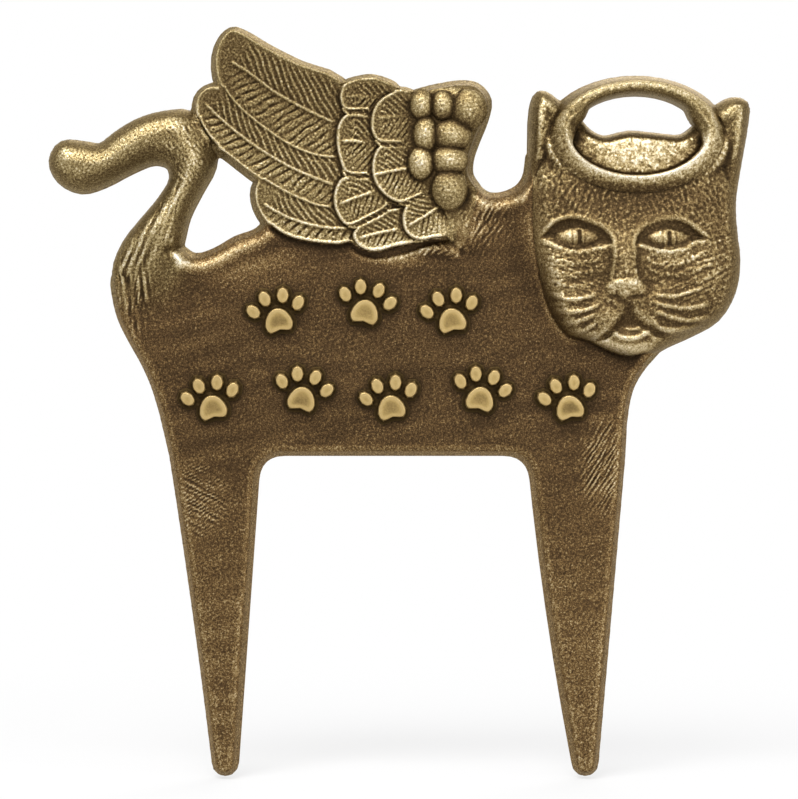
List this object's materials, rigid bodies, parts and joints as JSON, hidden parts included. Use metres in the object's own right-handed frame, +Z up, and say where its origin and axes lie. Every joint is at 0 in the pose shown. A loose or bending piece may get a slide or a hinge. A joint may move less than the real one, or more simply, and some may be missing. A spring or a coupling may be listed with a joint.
{
  "type": "pet memorial plaque",
  "caption": "Cast garden marker shaped as a winged cat with a halo, on tapering ground stakes, with a flat back and raised paw prints, to stand in soil as a pet memorial.",
  "frame": {"origin": "on the flat back face, midway across, at the soil line", "axes": "+Z up along the stakes, -Y out of the relief side, +X to the head's side"},
  "size_m": [0.2311, 0.0209, 0.2469],
  "materials": {
    "antique_brass_field": "cast, antique brass, dark wash",
    "antique_brass_relief": "cast, antique brass, rubbed bright on what stands up",
    "satin_brass": "cast, satin gold tops"
  },
  "bodies": {
    "root": {"plaque_plate": "antique_brass_field", "tail": "antique_brass_relief", "primary_feather_1": "antique_brass_relief", "primary_feather_2": "antique_brass_relief", "primary_feather_3": "antique_brass_relief", "secondary_feather_1": "antique_brass_relief", "secondary_feather_2": "antique_brass_relief", "secondary_feather_3": "antique_brass_relief", "secondary_feather_4": "antique_brass_relief", "covert_feather_1": "antique_brass_relief", "covert_feather_2": "antique_brass_relief", "covert_feather_3": "antique_brass_relief", "wing_shoulder": "antique_brass_relief", "shoulder_scale_1": "antique_brass_relief", "shoulder_scale_2": "antique_brass_relief", "shoulder_scale_3": "antique_brass_relief", "shoulder_scale_4": "antique_brass_relief", "shoulder_scale_5": "antique_brass_relief", "shoulder_scale_6": "antique_brass_relief", "shoulder_scale_7": "antique_brass_relief", "shoulder_scale_8": "antique_brass_relief", "head": "antique_brass_relief", "halo": "antique_brass_relief", "paw_print_1": "satin_brass", "paw_print_2": "satin_brass", "paw_print_3": "satin_brass", "paw_print_4": "satin_brass", "paw_print_5": "satin_brass", "paw_print_6": "satin_brass", "paw_print_7": "satin_brass", "paw_print_8": "satin_brass"}
  },
  "joints": []
}
